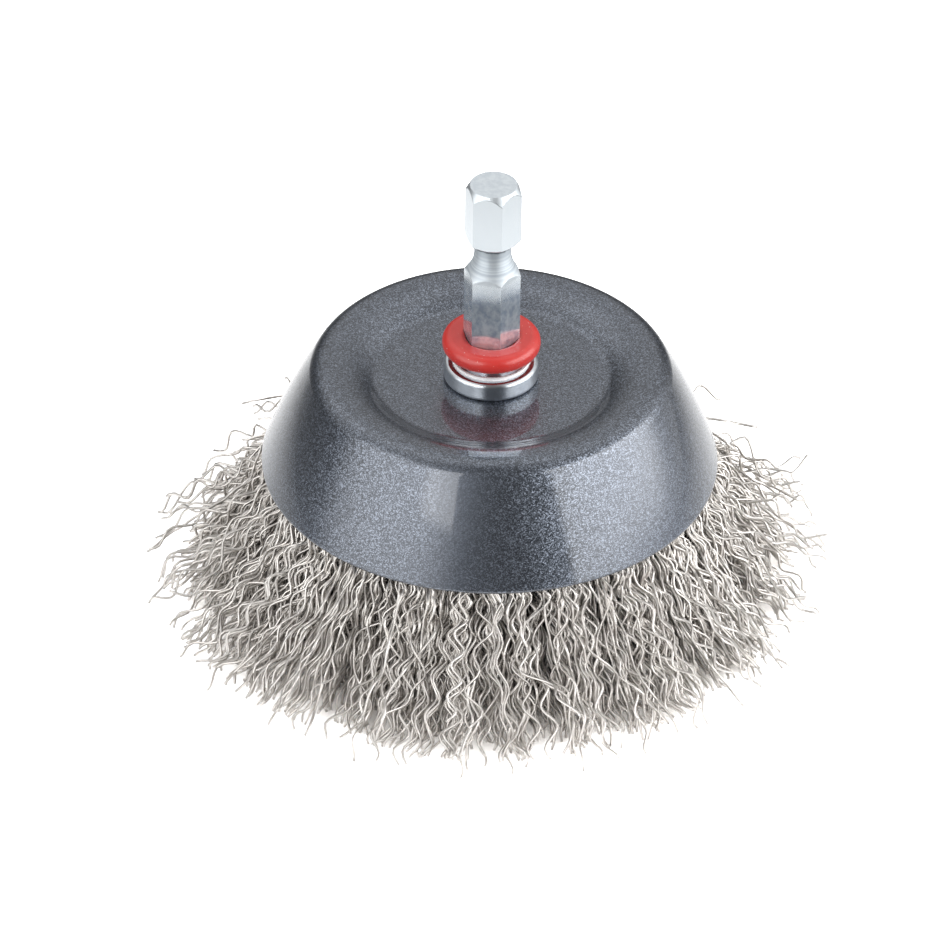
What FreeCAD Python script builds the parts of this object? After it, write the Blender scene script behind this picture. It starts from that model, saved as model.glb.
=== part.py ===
import FreeCAD, Part
import math
import os

import Sketcher

# Wire cup brush on a hex power shank, in millimetres.
# The origin is on the axis, at the face of the wires that lies on the work, with +Z up the shank.

Vector = FreeCAD.Vector

document = FreeCAD.newDocument("wire_cup_brush")
sheet = document.addObject("Spreadsheet::Sheet", "sizes")

SIZES = {
    # Cup, deep drawn from one sheet: heights are above the face of the wires.
    "dish_height": 31.0,
    "cup_sheet": 1.1,
    "rim_radius": 29.24,
    "rim_drop": 12.9,
    "wall_curve_radius": 87.0,
    "crest_radius": 20.6,
    "crest_rise": 2.0,
    "shoulder_curve": 2.8,
    "crest_inner_curve": 8.9,
    "dish_corner_curve": 2.0,
    "rim_edge_rounding": 0.35,
    # Hex shank, with the catch neck that a quick-change holder locks in.
    "hex_across_flats": 6.35,
    "shank_length": 29.09,
    "tip_flat_radius": 2.98,
    "tip_bevel_angle": 30.0,
    "neck_radius": 2.35,
    "neck_start": 8.6,
    "neck_straight": 1.3,
    "neck_shoulder_angle": 31.0,
    "neck_run_out": 4.8,
    "spigot_radius": 2.5,
    "spigot_clearance": 0.05,
    "rivet_head_radius": 4.2,
    "rivet_head_height": 1.7,
    "rivet_head_rounding": 0.7,
    # Turned collar between the hex and the cup.
    "collar_radius": 6.05,
    "collar_height": 2.6,
    "collar_edge_rounding": 0.55,
    "collar_foot_rounding": 0.6,
    "collar_step_radius": 4.9,
    "collar_step_rise": 0.35,
    "boss_radius": 3.85,
    "boss_rise": 1.44,
    "boss_edge_rounding": 0.25,
    # Soft colour ring, pushed over the hex until it sits on the collar.
    "ring_width": 3.07,
    "ring_height": 2.46,
    "ring_rounding": 1.15,
    "ring_inner_rounding": 0.8,
    "ring_clearance": 0.05,
    # Pressed retainer and washer that clamp the wires in the cup from below.
    "retainer_sheet": 0.9,
    "retainer_flat_radius": 14.6,
    "retainer_bend": 1.6,
    "retainer_edge_radius": 17.0,
    "retainer_depth": 8.6,
    "washer_radius": 6.5,
    "washer_thickness": 1.2,
    # Steel hoop that every lock of wire is doubled over.
    "hoop_radius": 20.1,
    "hoop_wire_radius": 1.2,
    "hoop_drop": 3.0,
    # Locks of crimped wire.
    "lock_radius": 0.88,
    "lock_clearance": 0.12,
    "layer_gap": 1.7,
    "crimp_length": 5.4,
    "crimp_depth_held": 0.35,
    "crimp_depth_free": 0.81,
    "crimp_tilt": 30.0,
    "rim_clearance": 0.3,
    "tip_overhang": 11.76,
    "tip_wander": 0.4,
    "tip_unevenness": 0.8,
    "stray_lean": 3.3,
    "stray_height": 3.0,
    "loop_width": 9.0,
    "inner_exit_radius": 20.2,
}

BUNCH_COUNT = 24

# Three kinds of lock follow each other round the brush, so that the fill has depth: one down the wall
# of the cup, one deeper in and one that leans further out. Each number counts layer gaps outwards.
LOCK_KINDS = [
    {"rim": 0.0, "retainer": 0.0, "outer_tip": 0.0, "inner_tip": 0.0},
    {"rim": -1.0, "retainer": -1.0, "outer_tip": -1.5, "inner_tip": -2.5},
    {"rim": -0.25, "retainer": 1.0, "outer_tip": 0.75, "inner_tip": 0.75},
]

HOOP_WRAP_CORNERS = 3
GOLDEN_SHARE = (math.sqrt(5) - 1) / 2
TRAIT_SHARE = 0.37

for row, (alias, value) in enumerate(SIZES.items(), start=1):
    sheet.set(f"A{row}", alias)
    sheet.set(f"B{row}", str(value))
    sheet.setAlias(f"B{row}", alias)
document.recompute()


def size(alias):
    """Return one driving size from the sheet."""
    return float(sheet.get(alias))


def new_body(name):
    """Start a sub-part whose label names its file."""
    body = document.addObject("PartDesign::Body", name)
    body.Label = name
    return body


def origin_plane(body, role):
    """Return one of the body's own origin planes."""
    return next(item for item in body.Origin.OriginFeatures if item.Role == role)


def new_sketch(body, name, role="XZ_Plane", height=None):
    """Add a sketch on an origin plane, lifted to a height given as a formula."""
    sketch = body.newObject("Sketcher::SketchObject", name)
    sketch.AttachmentSupport = (origin_plane(body, role), [""])
    sketch.MapMode = "FlatFace"
    if height is not None:
        sketch.setExpression("AttachmentOffset.Base.z", height)
    document.recompute()
    return sketch


def bind(sketch, constraint, formula):
    """Add a dimension and tie it to a formula of the sheet."""
    index = sketch.addConstraint(constraint)
    sketch.setExpression(f"Constraints[{index}]", formula)
    return index


def place_point(sketch, geometry, end, across, up):
    """Tie a point of the sketch to two formulas, measured from the axis and the floor."""
    x = sketch.evalExpression(across)
    y = sketch.evalExpression(up)
    bind(sketch, Sketcher.Constraint("DistanceX", -1, 1, geometry, end, x), across)
    bind(sketch, Sketcher.Constraint("DistanceY", -1, 1, geometry, end, y), up)


def corner_outline(sketch, corners):
    """Draw a closed outline of straight lines through corners given as pairs of formulas."""
    points = [Vector(sketch.evalExpression(x), sketch.evalExpression(y), 0) for x, y in corners]
    count = len(points)
    for index in range(count):
        sketch.addGeometry(Part.LineSegment(points[index], points[(index + 1) % count]), False)
    for index in range(count):
        sketch.addConstraint(Sketcher.Constraint("Coincident", index, 2, (index + 1) % count, 1))
    for index, (across, up) in enumerate(corners):
        if across == "0":
            sketch.addConstraint(Sketcher.Constraint("PointOnObject", index, 1, -2))
            y = sketch.evalExpression(up)
            bind(sketch, Sketcher.Constraint("DistanceY", -1, 1, index, 1, y), up)
        else:
            place_point(sketch, index, 1, across, up)


def turn(body, kind, name, sketch):
    """Revolve a sketch about the axis, to add metal or to cut it."""
    feature = body.newObject(f"PartDesign::{kind}", name)
    feature.Profile = sketch
    feature.ReferenceAxis = (sketch, ["V_Axis"])
    feature.Angle = 360
    document.recompute()
    return feature


def round_edges(body, name, base, places, formula):
    """Round the circular edges that lie at the given radius and height."""
    names = []
    for index, edge in enumerate(base.Shape.Edges, start=1):
        curve = edge.Curve
        if not isinstance(curve, Part.Circle) or abs(abs(curve.Axis.z) - 1) > 1e-6:
            continue
        for radius, height in places:
            if abs(curve.Radius - radius) < 1e-4 and abs(curve.Center.z - height) < 1e-4:
                names.append(f"Edge{index}")
    feature = body.newObject("PartDesign::Fillet", name)
    feature.Base = (base, names)
    feature.setExpression("Radius", formula)
    document.recompute()
    return feature


def left_of(direction):
    """Return the direction turned a quarter turn to the left."""
    return Vector(-direction.y, direction.x, 0)


def draw_run(sketch, run, side, thickness):
    """Draw a line or arc of a pressed profile, moved sideways by a thickness."""
    start, end, centre = run["start"], run["end"], run.get("centre")
    if centre is None:
        shift = left_of((end - start).normalize()) * side * thickness
        index = sketch.addGeometry(Part.LineSegment(start + shift, end + shift), False)
        return {"index": index, "first": 1, "last": 2}
    from_centre = start - centre
    to_centre = end - centre
    turns_left = from_centre.x * to_centre.y - from_centre.y * to_centre.x > 0
    radius = from_centre.Length - side * thickness * (1 if turns_left else -1)
    start_angle = math.atan2(from_centre.y, from_centre.x)
    end_angle = math.atan2(to_centre.y, to_centre.x)
    if not turns_left:
        start_angle, end_angle = end_angle, start_angle
    circle = Part.Circle(centre, Vector(0, 0, 1), radius)
    index = sketch.addGeometry(Part.ArcOfCircle(circle, start_angle, end_angle), False)
    return {"index": index, "first": 1 if turns_left else 2, "last": 2 if turns_left else 1}


def pressed_outline(sketch, runs, side, thickness):
    """Draw a pressed sheet's section: its outer runs, the same runs one sheet away, and both ends.

    Each joint between runs is tangent, and the sheet's thickness is a single dimension.
    """
    amount = sketch.evalExpression(thickness)
    outer = [draw_run(sketch, run, side, 0) for run in runs]
    inner = [draw_run(sketch, run, side, amount) for run in runs]
    for chain in (outer, inner):
        for before, after in zip(chain, chain[1:]):
            sketch.addConstraint(Sketcher.Constraint(
                "Tangent", before["index"], before["last"], after["index"], after["first"]))
    for run, near, far in zip(runs, outer, inner):
        if run.get("centre") is None:
            sketch.addConstraint(Sketcher.Constraint("Parallel", near["index"], far["index"]))
        else:
            sketch.addConstraint(Sketcher.Constraint("Coincident", near["index"], 3, far["index"], 3))
    ends = []
    for place, key in ((0, "first"), (-1, "last")):
        near, far = outer[place], inner[place]
        ends.append(sketch.addGeometry(Part.LineSegment(
            point_of(sketch, near, key), point_of(sketch, far, key)), False))
        sketch.addConstraint(Sketcher.Constraint("Coincident", ends[-1], 1, near["index"], near[key]))
        sketch.addConstraint(Sketcher.Constraint("Coincident", ends[-1], 2, far["index"], far[key]))
        if runs[place].get("centre") is None:
            sketch.addConstraint(Sketcher.Constraint("Perpendicular", ends[-1], near["index"]))
        else:
            sketch.addConstraint(Sketcher.Constraint("PointOnObject", near["index"], 3, ends[-1]))
    bind(sketch, Sketcher.Constraint("Distance", ends[0], amount), thickness)
    return outer


def point_of(sketch, run, key):
    """Return the first or last point of a drawn run."""
    return sketch.getPoint(run["index"], run[key])


def make_cup():
    """Cup: flat dish, a raised crest round it and a flaring wall, drawn from one sheet."""
    body = new_body("cup")
    sketch = new_sketch(body, "cup_section")
    dish = size("dish_height")
    corner = size("dish_corner_curve")
    inner = size("crest_inner_curve")
    shoulder = size("shoulder_curve")
    wall = size("wall_curve_radius")
    hole = size("spigot_radius") + size("spigot_clearance")
    crest = Vector(size("crest_radius"), dish + size("crest_rise"), 0)
    rim = Vector(size("rim_radius"), dish - size("rim_drop"), 0)
    inner_centre = crest - Vector(0, inner, 0)
    shoulder_centre = crest - Vector(0, shoulder, 0)
    rise = dish + corner - inner_centre.y
    corner_centre = Vector(crest.x - math.sqrt((inner + corner) ** 2 - rise ** 2), dish + corner, 0)
    corner_end = corner_centre + (inner_centre - corner_centre) * (corner / (inner + corner))
    across = rim - shoulder_centre
    along = ((wall - shoulder) ** 2 - wall ** 2 + across.Length ** 2) / (2 * across.Length)
    aside = math.sqrt((wall - shoulder) ** 2 - along ** 2)
    heading = Vector(across.x, across.y, 0).normalize()
    wall_centre = shoulder_centre + heading * along - left_of(heading) * aside
    shoulder_end = wall_centre + (shoulder_centre - wall_centre).normalize() * wall
    dish_end = Vector(corner_centre.x, dish, 0)
    runs = [
        {"start": Vector(hole, dish, 0), "end": dish_end},
        {"start": dish_end, "end": corner_end, "centre": corner_centre},
        {"start": corner_end, "end": crest, "centre": inner_centre},
        {"start": crest, "end": shoulder_end, "centre": shoulder_centre},
        {"start": shoulder_end, "end": rim, "centre": wall_centre},
    ]
    outer = pressed_outline(sketch, runs, -1, "sizes.cup_sheet")
    dish_line, corner_arc, inner_arc, shoulder_arc, wall_arc = [run["index"] for run in outer]
    sketch.addConstraint(Sketcher.Constraint("Horizontal", dish_line))
    place_point(sketch, dish_line, 1, "sizes.spigot_radius + sizes.spigot_clearance", "sizes.dish_height")
    place_point(sketch, inner_arc, 3, "sizes.crest_radius",
                "sizes.dish_height + sizes.crest_rise - sizes.crest_inner_curve")
    bind(sketch, Sketcher.Constraint("DistanceX", -1, 1, shoulder_arc, 3, crest.x), "sizes.crest_radius")
    place_point(sketch, wall_arc, outer[4]["last"], "sizes.rim_radius", "sizes.dish_height - sizes.rim_drop")
    for arc, radius, alias in (
        (corner_arc, corner, "dish_corner_curve"),
        (inner_arc, inner, "crest_inner_curve"),
        (shoulder_arc, shoulder, "shoulder_curve"),
        (wall_arc, wall, "wall_curve_radius"),
    ):
        bind(sketch, Sketcher.Constraint("Radius", arc, radius), f"sizes.{alias}")
    shell = turn(body, "Revolution", "cup_shell", sketch)
    round_edges(body, "rim_edge", shell, [(rim.x, rim.y)], "sizes.rim_edge_rounding")
    return body


def make_retainer():
    """Retainer: a shallow pressed cap whose wall backs the inner legs of the wires."""
    body = new_body("wire_retainer")
    sketch = new_sketch(body, "retainer_section")
    top = size("dish_height") - size("cup_sheet")
    hole = size("spigot_radius") + size("spigot_clearance")
    flat = size("retainer_flat_radius")
    edge = Vector(size("retainer_edge_radius"), top - size("retainer_depth"), 0)
    bend = size("retainer_bend")
    fold = Vector(flat, top, 0)
    wall = (edge - fold).normalize()
    setback = bend * math.tan(math.acos(wall.x) / 2)
    flat_end = Vector(flat - setback, top, 0)
    runs = [
        {"start": Vector(hole, top, 0), "end": flat_end},
        {"start": flat_end, "end": fold + wall * setback, "centre": Vector(flat_end.x, top - bend, 0)},
        {"start": fold + wall * setback, "end": edge},
    ]
    outer = pressed_outline(sketch, runs, -1, "sizes.retainer_sheet")
    flat_line, bend_arc, wall_line = [run["index"] for run in outer]
    top_formula = "sizes.dish_height - sizes.cup_sheet"
    sketch.addConstraint(Sketcher.Constraint("Horizontal", flat_line))
    place_point(sketch, flat_line, 1, "sizes.spigot_radius + sizes.spigot_clearance", top_formula)
    place_point(sketch, wall_line, 2, "sizes.retainer_edge_radius", f"{top_formula} - sizes.retainer_depth")
    bind(sketch, Sketcher.Constraint("Radius", bend_arc, bend), "sizes.retainer_bend")
    mark = sketch.addGeometry(Part.Point(fold), True)
    place_point(sketch, mark, 1, "sizes.retainer_flat_radius", top_formula)
    sketch.addConstraint(Sketcher.Constraint("PointOnObject", mark, 1, wall_line))
    turn(body, "Revolution", "retainer_shell", sketch)
    return body


def make_washer():
    """Washer between the retainer and the rivet head."""
    body = new_body("rivet_washer")
    sketch = new_sketch(body, "washer_section")
    top = "sizes.dish_height - sizes.cup_sheet - sizes.retainer_sheet"
    hole = "sizes.spigot_radius + sizes.spigot_clearance"
    corner_outline(sketch, [
        (hole, f"{top} - sizes.washer_thickness"),
        ("sizes.washer_radius", f"{top} - sizes.washer_thickness"),
        ("sizes.washer_radius", top),
        (hole, top),
    ])
    turn(body, "Revolution", "washer_disc", sketch)
    return body


def make_collar():
    """Collar turned from round bar, with a low step and a boss that the hex shoulder bears on."""
    body = new_body("collar")
    sketch = new_sketch(body, "collar_section")
    hole = "sizes.spigot_radius + sizes.spigot_clearance"
    foot = "sizes.dish_height"
    step = f"{foot} + sizes.collar_height"
    corner_outline(sketch, [
        (hole, foot),
        ("sizes.collar_radius", foot),
        ("sizes.collar_radius", step),
        ("sizes.collar_step_radius", step),
        ("sizes.collar_step_radius", f"{step} + sizes.collar_step_rise"),
        ("sizes.boss_radius", f"{step} + sizes.collar_step_rise"),
        ("sizes.boss_radius", f"{step} + sizes.boss_rise"),
        (hole, f"{step} + sizes.boss_rise"),
    ])
    turned = turn(body, "Revolution", "collar_turning", sketch)
    step_height = size("dish_height") + size("collar_height")
    edge = round_edges(body, "collar_edge", turned, [(size("collar_radius"), step_height)],
                       "sizes.collar_edge_rounding")
    rounded = round_edges(body, "collar_foot", edge, [(size("collar_radius"), size("dish_height"))],
                          "sizes.collar_foot_rounding")
    boss = (size("boss_radius"), step_height + size("boss_rise"))
    round_edges(body, "boss_edge", rounded, [boss], "sizes.boss_edge_rounding")
    return body


def make_colour_ring():
    """Soft ring: a band with well rounded edges, whose hole follows the hex."""
    body = new_body("colour_ring")
    sketch = new_sketch(body, "ring_section")
    bore = "sizes.hex_across_flats / 2"
    seat = "sizes.dish_height + sizes.collar_height + sizes.boss_rise"
    corner_outline(sketch, [
        (bore, seat),
        (f"{bore} + sizes.ring_width", seat),
        (f"{bore} + sizes.ring_width", f"{seat} + sizes.ring_height"),
        (bore, f"{seat} + sizes.ring_height"),
    ])
    band = turn(body, "Revolution", "ring_band", sketch)
    inside = sketch.evalExpression(bore)
    below = sketch.evalExpression(seat)
    outside = inside + size("ring_width")
    above = below + size("ring_height")
    rounded = round_edges(body, "ring_edges", band, [(outside, below), (outside, above)],
                          "sizes.ring_rounding")
    round_edges(body, "ring_inner_edge", rounded, [(inside, above)], "sizes.ring_inner_rounding")
    hole = new_sketch(body, "hex_hole_outline", "XY_Plane", f"{seat} + sizes.ring_height")
    draw_hexagon(hole, "(sizes.hex_across_flats + 2 * sizes.ring_clearance) / (2 * cos(30 deg))")
    pocket = body.newObject("PartDesign::Pocket", "hex_hole")
    pocket.Profile = hole
    pocket.setExpression("Length", "sizes.ring_height")
    document.recompute()
    return body


def make_shank():
    """Shank: hex bar with a bevelled tip and catch neck, and a spigot riveted over under the cup."""
    body = new_body("hex_shank")
    seat = "sizes.dish_height + sizes.collar_height + sizes.boss_rise"
    tip = "sizes.dish_height + sizes.shank_length"
    add_hex_bar(body, seat, tip)
    add_spigot(body, seat)
    cut_tip_bevel(body, tip)
    cut_catch_neck(body, tip)
    return body


def add_hex_bar(body, seat, tip):
    """Pad the hexagon from the collar to the tip."""
    sketch = new_sketch(body, "hex_outline", "XY_Plane", seat)
    draw_hexagon(sketch, "sizes.hex_across_flats / (2 * cos(30 deg))")
    pad = body.newObject("PartDesign::Pad", "hex_bar")
    pad.Profile = sketch
    pad.setExpression("Length", f"{tip} - ({seat})")
    document.recompute()


def draw_hexagon(sketch, corner):
    """Draw a regular hexagon round the axis, with a corner on +X at a distance given as a formula."""
    radius = sketch.evalExpression(corner)
    headings = [math.radians(60 * side) for side in range(6)]
    points = [Vector(radius * math.cos(heading), radius * math.sin(heading), 0) for heading in headings]
    for side in range(6):
        sketch.addGeometry(Part.LineSegment(points[side], points[(side + 1) % 6]), False)
    guide = sketch.addGeometry(Part.Circle(Vector(0, 0, 0), Vector(0, 0, 1), radius), True)
    sketch.addConstraint(Sketcher.Constraint("Coincident", guide, 3, -1, 1))
    for side in range(6):
        sketch.addConstraint(Sketcher.Constraint("Coincident", side, 2, (side + 1) % 6, 1))
        sketch.addConstraint(Sketcher.Constraint("PointOnObject", side, 1, guide))
    for side in range(1, 6):
        sketch.addConstraint(Sketcher.Constraint("Equal", 0, side))
    sketch.addConstraint(Sketcher.Constraint("PointOnObject", 0, 1, -1))
    bind(sketch, Sketcher.Constraint("Radius", guide, radius), corner)


def add_spigot(body, seat):
    """Add the round spigot through the collar and cup, and its closed rivet head."""
    sketch = new_sketch(body, "spigot_section")
    head = "sizes.dish_height - sizes.cup_sheet - sizes.retainer_sheet - sizes.washer_thickness"
    corner_outline(sketch, [
        ("0", seat),
        ("0", f"{head} - sizes.rivet_head_height"),
        ("sizes.rivet_head_radius", f"{head} - sizes.rivet_head_height"),
        ("sizes.rivet_head_radius", head),
        ("sizes.spigot_radius", head),
        ("sizes.spigot_radius", seat),
    ])
    spigot = turn(body, "Revolution", "spigot", sketch)
    foot = sketch.evalExpression(f"{head} - sizes.rivet_head_height")
    round_edges(body, "rivet_head_edge", spigot, [(size("rivet_head_radius"), foot)],
                "sizes.rivet_head_rounding")


def cut_tip_bevel(body, tip):
    """Bevel the six corners at the tip down to a round flat."""
    sketch = new_sketch(body, "tip_bevel_section")
    outside = "sizes.hex_across_flats"
    corner_outline(sketch, [
        ("sizes.tip_flat_radius", tip),
        (outside, f"{tip} - ({outside} - sizes.tip_flat_radius) / tan(sizes.tip_bevel_angle * 1 deg)"),
        (outside, tip),
    ])
    cut_round(body, "tip_bevel", sketch)


def cut_catch_neck(body, tip):
    """Turn the neck: a short cone under the head, a straight neck and a curved run-out."""
    sketch = new_sketch(body, "neck_section")
    outside = size("hex_across_flats")
    neck = size("neck_radius")
    top = sketch.evalExpression(f"{tip} - sizes.neck_start")
    bottom = top - size("neck_straight")
    curve = size("neck_run_out")
    cone_rise = (outside - neck) * math.tan(math.radians(size("neck_shoulder_angle")))
    sweep = math.acos((curve - (outside - neck)) / curve)
    centre = Vector(neck + curve, bottom, 0)
    run_out = Vector(outside, bottom - curve * math.sin(sweep), 0)
    corners = [Vector(outside, top + cone_rise, 0), Vector(neck, top, 0), Vector(neck, bottom, 0)]
    cone = sketch.addGeometry(Part.LineSegment(corners[0], corners[1]), False)
    straight = sketch.addGeometry(Part.LineSegment(corners[1], corners[2]), False)
    circle = Part.Circle(centre, Vector(0, 0, 1), curve)
    arc = sketch.addGeometry(Part.ArcOfCircle(circle, math.pi, math.pi + sweep), False)
    close = sketch.addGeometry(Part.LineSegment(run_out, corners[0]), False)
    sketch.addConstraint(Sketcher.Constraint("Coincident", cone, 2, straight, 1))
    sketch.addConstraint(Sketcher.Constraint("Tangent", straight, 2, arc, 1))
    sketch.addConstraint(Sketcher.Constraint("Coincident", arc, 2, close, 1))
    sketch.addConstraint(Sketcher.Constraint("Coincident", close, 2, cone, 1))
    sketch.addConstraint(Sketcher.Constraint("Vertical", straight))
    sketch.addConstraint(Sketcher.Constraint("Vertical", close))
    place_point(sketch, straight, 1, "sizes.neck_radius", f"{tip} - sizes.neck_start")
    bind(sketch, Sketcher.Constraint("DistanceX", -1, 1, close, 1, outside), "sizes.hex_across_flats")
    bind(sketch, Sketcher.Constraint("Distance", straight, top - bottom), "sizes.neck_straight")
    bind(sketch, Sketcher.Constraint("Radius", arc, curve), "sizes.neck_run_out")
    bind(sketch, Sketcher.Constraint("DistanceY", cone, 2, cone, 1, cone_rise),
         "(sizes.hex_across_flats - sizes.neck_radius) * tan(sizes.neck_shoulder_angle * 1 deg)")
    cut_round(body, "catch_neck", sketch)


def cut_round(body, name, sketch):
    """Groove the body and make sure that the cut takes metal away."""
    before = body.Tip.Shape.Volume
    feature = turn(body, "Groove", name, sketch)
    if feature.Shape.Volume >= before:
        feature.Reversed = True
        document.recompute()
    if feature.Shape.Volume >= before:
        raise RuntimeError(f"{name} cuts nothing")


def make_hoop():
    """Closed steel hoop inside the loops of wire."""
    hoop = document.addObject("Part::Torus", "wire_hoop")
    hoop.Label = "wire_hoop"
    hoop.setExpression("Radius1", "sizes.hoop_radius")
    hoop.setExpression("Radius2", "sizes.hoop_wire_radius")
    hoop.setExpression("Placement.Base.z", "sizes.dish_height - sizes.hoop_drop")
    return hoop


def spread(serial, trait):
    """Return a lock's share from 0 to 1 for one of its traits: even, irregular, the same on every run."""
    return (serial * GOLDEN_SHARE + trait * TRAIT_SHARE) % 1.0


def crimped_run(start, end, tilt, first_side):
    """Return the corners of a crimped leg, from just after its start to its end.

    The zigzag swings across the radial plane, tilted out of it by the given angle,
    and opens out towards the free end, where nothing holds the wires together.
    """
    held = size("crimp_depth_held")
    opening = size("crimp_depth_free") - held
    along = end - start
    across = Vector(along.z, 0, -along.x).normalize()
    swing = Vector(0, 1, 0) * math.cos(tilt) + across * math.sin(tilt)
    count = max(3, round(along.Length / (size("crimp_length") / 2)))
    corners = []
    for step in range(1, count):
        side = first_side * (-1) ** step
        share = step / count
        corners.append(start + along * share + swing * side * (held + opening * share))
    corners.append(end)
    return corners


def tangent_heading(point, centre, radius, side):
    """Return the heading from a point to the line that just touches a circle on one side."""
    to_centre = centre - point
    return math.atan2(to_centre.z, to_centre.x) + side * math.asin(radius / to_centre.Length)


def hoop_corners(centre, radius, first_heading, last_heading, count):
    """Return the corners of a path that wraps a circle with straight runs that touch it."""
    step = (last_heading - first_heading) / count
    reach = radius / math.cos(step / 2)
    corners = []
    for index in range(count):
        heading = first_heading + step * (index + 0.5)
        corners.append(centre + Vector(math.sin(heading), 0, -math.cos(heading)) * reach)
    return corners


def locks_per_bunch():
    """Return how many locks lie side by side in one bunch's share of the hoop."""
    width = 2 * size("lock_radius") * math.cos(math.radians(30)) + size("lock_clearance")
    return max(1, int(2 * math.pi * size("hoop_radius") / BUNCH_COUNT / width))


def lock_path(serial, stray):
    """Return one lock's corners from the hoop to each tip, in its own radial plane."""
    kind = LOCK_KINDS[serial % len(LOCK_KINDS)]
    layer = size("layer_gap")
    centre = Vector(size("hoop_radius"), 0, size("dish_height") - size("hoop_drop"))
    wrap = size("hoop_wire_radius") + size("lock_clearance") + size("lock_radius") / 2
    rim_bottom = size("dish_height") - size("rim_drop") - size("cup_sheet") / 2
    rim_inside = size("rim_radius") - size("cup_sheet") - size("rim_clearance") - size("lock_radius")
    outer_exit = Vector(rim_inside + kind["rim"] * layer, 0, rim_bottom)
    retainer_bottom = size("dish_height") - size("cup_sheet") - size("retainer_depth")
    inner_exit = Vector(size("inner_exit_radius") + kind["retainer"] * layer, 0, retainer_bottom)
    overhang = size("rim_radius") + size("tip_overhang")
    reach = overhang + size("tip_wander") * (2 * spread(serial, 2) - 1)
    lift = size("tip_unevenness") * (serial % len(LOCK_KINDS)) * (0.5 + spread(serial, 1))
    outer_tip = Vector(reach + kind["outer_tip"] * layer, 0, lift)
    inner_lift = size("tip_unevenness") * (0.5 + spread(serial, 3))
    inner_tip = Vector(reach - size("loop_width") + kind["inner_tip"] * layer, 0, inner_lift)
    if stray:
        outer_tip = Vector(overhang + size("stray_lean"), 0, size("stray_height"))
    first_heading = tangent_heading(outer_exit, centre, wrap, -1)
    last_heading = tangent_heading(inner_exit, centre, wrap, 1) + math.pi
    corners = hoop_corners(centre, wrap, first_heading, last_heading, HOOP_WRAP_CORNERS)
    tilt = math.radians(size("crimp_tilt") * (2 * spread(serial, 4) - 1))
    side = 1 if spread(serial, 5) > 0.5 else -1
    outer = [corners[0], outer_exit] + crimped_run(outer_exit, outer_tip, tilt, side)
    inner = corners[1:] + [inner_exit] + crimped_run(inner_exit, inner_tip, -tilt, -side)
    return outer, inner


def follow(path, start, section, flat_end):
    """Carry a section's corners along a path, mitred at each bend, to its end."""
    rings = []
    here = start
    for index, point in enumerate(path):
        heading = (point - (path[index - 1] if index else start)).normalize()
        if index + 1 < len(path):
            normal = (heading + (path[index + 1] - point).normalize()).normalize()
        else:
            normal = Vector(0, 0, 1) if flat_end else heading
        moved = []
        for corner in section:
            distance = (point - corner).dot(normal) / heading.dot(normal)
            moved.append(corner + heading * distance)
        section = moved
        rings.append(section)
    return rings


def lock_solid(serial, stray):
    """Make one lock: a three-sided bar doubled over the hoop, with two crimped legs."""
    outer, inner = lock_path(serial, stray)
    middle = (outer[0] + inner[0]) * 0.5
    heading = (inner[0] - outer[0]).normalize()
    outward = Vector(heading.z, 0, -heading.x)
    sideways = Vector(0, 1, 0)
    reach = size("lock_radius")
    section = [
        middle + outward * reach,
        middle - outward * (reach / 2) + sideways * (reach * math.cos(math.radians(30))),
        middle - outward * (reach / 2) - sideways * (reach * math.cos(math.radians(30))),
    ]
    rings = follow(outer, middle, section, not stray)[::-1] + follow(inner, middle, section, True)
    faces = [Part.Face(Part.makePolygon(rings[0] + rings[0][:1]))]
    for before, after in zip(rings, rings[1:]):
        for corner in range(3):
            near = (corner + 1) % 3
            loop = [before[corner], before[near], after[near], after[corner], before[corner]]
            faces.append(Part.Face(Part.makePolygon(loop)))
    faces.append(Part.Face(Part.makePolygon(rings[-1] + rings[-1][:1])))
    shell = Part.makeShell(faces)
    shell.sewShape()
    solid = Part.makeSolid(shell)
    if solid.Volume < 0:
        solid.reverse()
    return solid


def make_bunches():
    """Bunches of locks, side by side round the hoop; the pattern repeats every quarter turn.

    The first lock of each quarter is the stray one, on the X and Y axes, so that the brush
    reaches equally far on all four sides.
    """
    in_bunch = locks_per_bunch()
    pitch = 360 / (BUNCH_COUNT * in_bunch)
    bunches = []
    for number in range(BUNCH_COUNT):
        locks = []
        for place in range(in_bunch):
            serial = number % (BUNCH_COUNT // 4) * in_bunch + place
            lock = lock_solid(serial, serial == 0)
            lock.rotate(Vector(0, 0, 0), Vector(0, 0, 1), pitch * place)
            locks.append(lock)
        name = f"wire_bunch_{number + 1:02d}"
        bunch = document.addObject("Part::Feature", name)
        bunch.Label = name
        bunch.Shape = Part.makeCompound(locks)
        turned = FreeCAD.Rotation(Vector(0, 0, 1), pitch * in_bunch * number)
        bunch.Placement = FreeCAD.Placement(Vector(0, 0, 0), turned)
        bunches.append(bunch)
    return bunches


def export(pieces):
    """Check every object and every piece, then write one file for each piece."""
    document.recompute()
    for item in document.Objects:
        if {"Invalid", "Error"} & set(item.State):
            raise RuntimeError(f"{item.Name} failed: {item.State}")
    for piece in pieces:
        if piece.Shape.isNull() or not piece.Shape.isValid():
            raise RuntimeError(f"{piece.Label} has no valid shape")
    os.makedirs("parts", exist_ok=True)
    for piece in pieces:
        piece.Shape.exportStep(f"parts/{piece.Label}.step")


export([
    make_shank(),
    make_colour_ring(),
    make_collar(),
    make_cup(),
    make_retainer(),
    make_washer(),
    make_hoop(),
] + make_bunches())
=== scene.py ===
import math
import random

import bpy
import numpy as np
from mathutils import Matrix, Vector


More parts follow.
